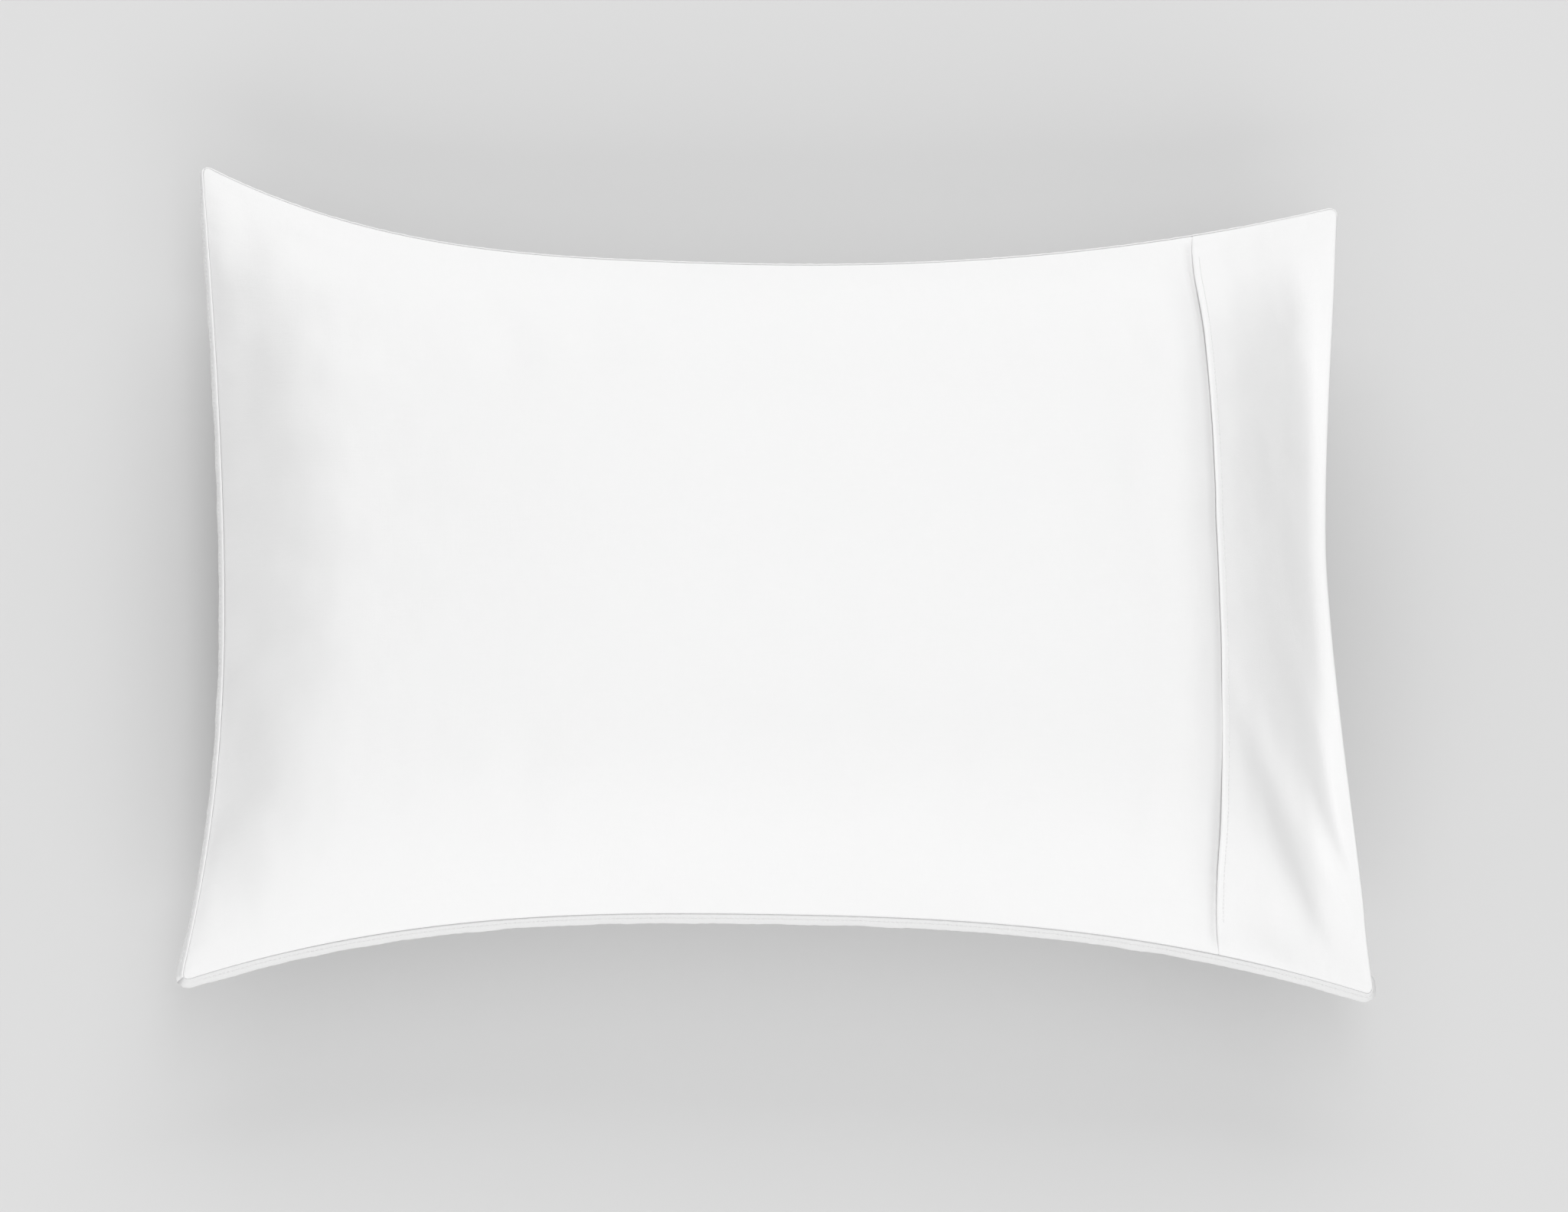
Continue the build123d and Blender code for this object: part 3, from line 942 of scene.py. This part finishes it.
def make_piping():
    """One closed cord round the edge of the insert, a little uneven."""
    share = stations(1.0, 0.0015, 0.0015, 0.006)[:-1]
    low, high = 0 * share, 0 * share + 1
    loop = insert_skin(FRONT, np.concatenate([share, high, 1 - share, low]),
                       np.concatenate([low, share, high, 1 - share]))
    loop = np.concatenate([loop, loop[:1]])
    loop[:, 2] = SEAM_Z
    total = gone(loop)[-1]
    spots = np.linspace(0, total, round(total / PIPING_STEP) + 1)[:-1]
    loop = read_line(loop, spots)
    tangent = unit(np.roll(loop, -1, axis=0) - np.roll(loop, 1, axis=0))
    level = np.stack([tangent[:, 1], -tangent[:, 0], 0 * spots], axis=-1)
    middle = loop + level * (PIPING_OUT + 0.0002 * ripples(spots, 0.05, 61))[:, None]
    middle[:, 2] += 0.0003 * ripples(spots, 0.04, 62)
    around = 12
    angles = np.arange(around) * 2 * pi / around
    radius = PIPING_RADIUS * (1 + 0.05 * ripples(spots, 0.012, 63))[:, None, None]
    out, up = np.cos(angles)[None, :, None], np.sin(angles)[None, :, None]
    tube = middle[:, None] + (level[:, None] * out + np.array([0, 0, 1]) * up) * radius
    round_it, along_it = np.broadcast_arrays(angles * PIPING_RADIUS, spots[:, None])
    uv = np.stack([along_it, round_it], axis=-1).reshape(-1, 2)
    quads = tube_faces(len(spots), around, closed=True)[:, ::-1]
    piping = add_piece("piping", tube.reshape(-1, 3), quads, uv, PIPING, "insert")
    return finish_piece(piping, "piping_cord", "ticking_piping")


piping = make_piping()


# The closing stitches

CLOSING_OUT = (0.8, 0.0, -0.6)
CLOSING_FROM, CLOSING_TO = 0.0012, 0.0038
CLOSING_SLANT = 0.0035


def make_closing():
    """Slanting hand stitches at the insert's end, which close the slot the filling went in by."""
    places = np.arange(CLOSING_LOW.y, CLOSING_HIGH.y, HAND_PITCH)
    across = (places - near_side(0.26)) / (far_side(0.26) - near_side(0.26))
    length = insert_end(across) - insert_start(across)
    upper = ticking_surface(BACK, 1 - CLOSING_FROM / length, across)
    lower = ticking_surface(BACK, 1 - CLOSING_TO / length, across + CLOSING_SLANT)
    outward = unit(np.broadcast_to(CLOSING_OUT, upper.shape))
    upper, lower = upper + outward * 0.0002, lower + outward * 0.0002
    closing = stitch_piece("closing_thread", upper, lower, outward, "insert", HAND_THREAD)
    return finish_piece(closing, "ticking_thread", "ticking_closing_stitch")


closing = make_closing()


# The insert's tag

TAG_END_IN = 0.0005
TAG_TOP = 0.0012
TAG_OFF = 0.0006
TAG_CURL = 0.0016


def make_tag():
    """A blank tag that hangs from the insert's near seam, over the back panel."""
    u, v = np.meshgrid(np.linspace(0, 1, 24), np.linspace(0, 1, 20), indexing="ij")
    x = TAG_LOW.x + TAG_END_IN + (TAG_HIGH.x - TAG_LOW.x - 2 * TAG_END_IN) * u
    along = (x - insert_start(0.02)) / (insert_end(0.02) - insert_start(0.02))
    middle_height = SEAM_Z - insert_skin(BACK, along, 0.5 + 0 * x)[..., 2]
    depth = TAG_TOP + (SEAM_Z - TAG_LOW.z - 0.0015) * v
    across = (1 - (1 - depth / middle_height) ** (1 / SIDE_RISE)) / 2
    base = ticking_surface(BACK, along, across)
    curl = TAG_CURL * ramp(v, 0.5, 1) * (0.6 + 0.4 * np.sin(pi * u * 1.3))
    curl = curl + 0.0002 * waves(x, depth, 0.02, 4)
    surface = base - normals(base) * (TAG_OFF + curl)[..., None]
    tag = cloth_piece("ticking_tag", surface, np.stack([x, depth], axis=-1), TAPE_CLOTH, BACK, TAPE, "insert")
    finish_piece(tag, "label_tape", "ticking_care_label")


make_tag()


# The filling: one lumpy block of fibre inside the cover

FIBRE_MIDDLE = (-0.045, -0.002, SEAM_Z)
FIBRE_SHARE = (0.980, 0.975, 0.955)
FIBRE_LUMP = 0.0022


def fibre_half(side, along, across):
    """One half of the block: the insert's skin drawn in towards the middle, with lumps."""
    points = insert_skin(side, along, across)
    x, y = points[..., 0], points[..., 1]
    lumps = 0.5 + 0.35 * waves(x, y, 0.045, 71 + side) + 0.15 * waves(x, y, 0.016, 73 + side)
    points = FIBRE_MIDDLE + (points - FIBRE_MIDDLE) * FIBRE_SHARE
    from_seam = np.abs(points[..., 2] - SEAM_Z)
    points[..., 2] -= side * FIBRE_LUMP * np.clip(lumps, 0, 1.2) * ramp(from_seam, 0, 0.02)
    return points if side == FRONT else laid_on(points, INSERT_FLOOR + FIBRE_LUMP)


def make_filling():
    along, across = np.broadcast_arrays(np.linspace(0, 1, 110)[:, None], np.linspace(0, 1, 86)[None, :])
    edge = np.zeros(along.shape, bool)
    edge[0, :] = edge[-1, :] = edge[:, 0] = edge[:, -1] = True
    _, used, quads = sewn_grids(edge)
    points = [fibre_half(side, along, across).reshape(-1, 3) for side in (FRONT, BACK)]
    uv = np.stack([along * INSERT_FLAT[0], across * INSERT_FLAT[1]], axis=-1).reshape(-1, 2)
    uv = np.tile(uv, (2, 1))[used]
    filling = add_piece("filling", np.concatenate(points)[used], quads, uv, FIBRE, "insert")
    finish_piece(filling, "fibre", "fibre_fill")


make_filling()


# Floor, camera and light

FLOOR = 6.0
FLOOR_DOWN = 0.0005
FLOOR_GREY = 0.712
LENS_MM, SENSOR_MM = 96, 36
CAMERA_PLACE = Vector((-0.34906, -0.68282, 2.52533 + SEAM_Z))
CAMERA_FORWARD = Vector((0.13236, 0.25218, -0.95859))
CAMERA_UP = Vector((-0.02375, 0.96762, 0.25128))
LIGHT_AIM = Vector((0, 0, 0.1))
WORLD_LIGHT = 0.505


def make_floor():
    look = bpy.data.materials.new("pale_floor")
    look.use_nodes = True
    shader = look.node_tree.nodes["Principled BSDF"]
    shader.inputs["Base Color"].default_value = (FLOOR_GREY, FLOOR_GREY, FLOOR_GREY, 1.0)
    shader.inputs["Roughness"].default_value = 0.9
    shader.inputs["Specular IOR Level"].default_value = 0.0
    mesh = bpy.data.meshes.new("floor")
    corners = [(-FLOOR, -FLOOR, 0), (FLOOR, -FLOOR, 0), (FLOOR, FLOOR, 0), (-FLOOR, FLOOR, 0)]
    mesh.from_pydata(corners, [], [(0, 1, 2, 3)])
    mesh.materials.append(look)
    floor = bpy.data.objects.new("floor", mesh)
    floor.location.z = -FLOOR_DOWN
    bpy.context.collection.objects.link(floor)


def make_camera():
    """A long lens, high over the near side of the pillow and looking a little towards its mouth."""
    data = bpy.data.cameras.new("camera")
    data.lens = LENS_MM
    data.sensor_width = SENSOR_MM
    camera = bpy.data.objects.new("camera", data)
    bpy.context.collection.objects.link(camera)
    forward = CAMERA_FORWARD.normalized()
    right = forward.cross(CAMERA_UP).normalized()
    axes = Matrix((right, right.cross(forward), -forward)).transposed().to_4x4()
    camera.matrix_world = Matrix.Translation(CAMERA_PLACE) @ axes
    bpy.context.scene.camera = camera


def softbox(name, place, size, power):
    """A rectangular soft light that faces the pillow."""
    data = bpy.data.lights.new(name, "AREA")
    data.shape = "RECTANGLE"
    data.size, data.size_y = size
    data.energy = power
    light = bpy.data.objects.new(name, data)
    light.location = place
    light.rotation_mode = "QUATERNION"
    light.rotation_quaternion = (LIGHT_AIM - Vector(place)).to_track_quat("-Z", "Y")
    bpy.context.collection.objects.link(light)


make_floor()
make_camera()
softbox("near_softbox", (0.0, -2.6, 1.55), (3.0, 1.6), 40.8)
softbox("far_softbox", (0.0, 2.6, 1.55), (3.0, 1.6), 42.3)
softbox("overhead_softbox", (0.0, 0.0, 2.9), (1.0, 4.0), 16.5)

world = bpy.data.worlds.new("studio")
bpy.context.scene.world = world
world.use_nodes = True
world.node_tree.nodes["Background"].inputs["Color"].default_value = (1, 1, 1, 1)
world.node_tree.nodes["Background"].inputs["Strength"].default_value = WORLD_LIGHT
bpy.context.scene.view_settings.view_transform = "Standard"
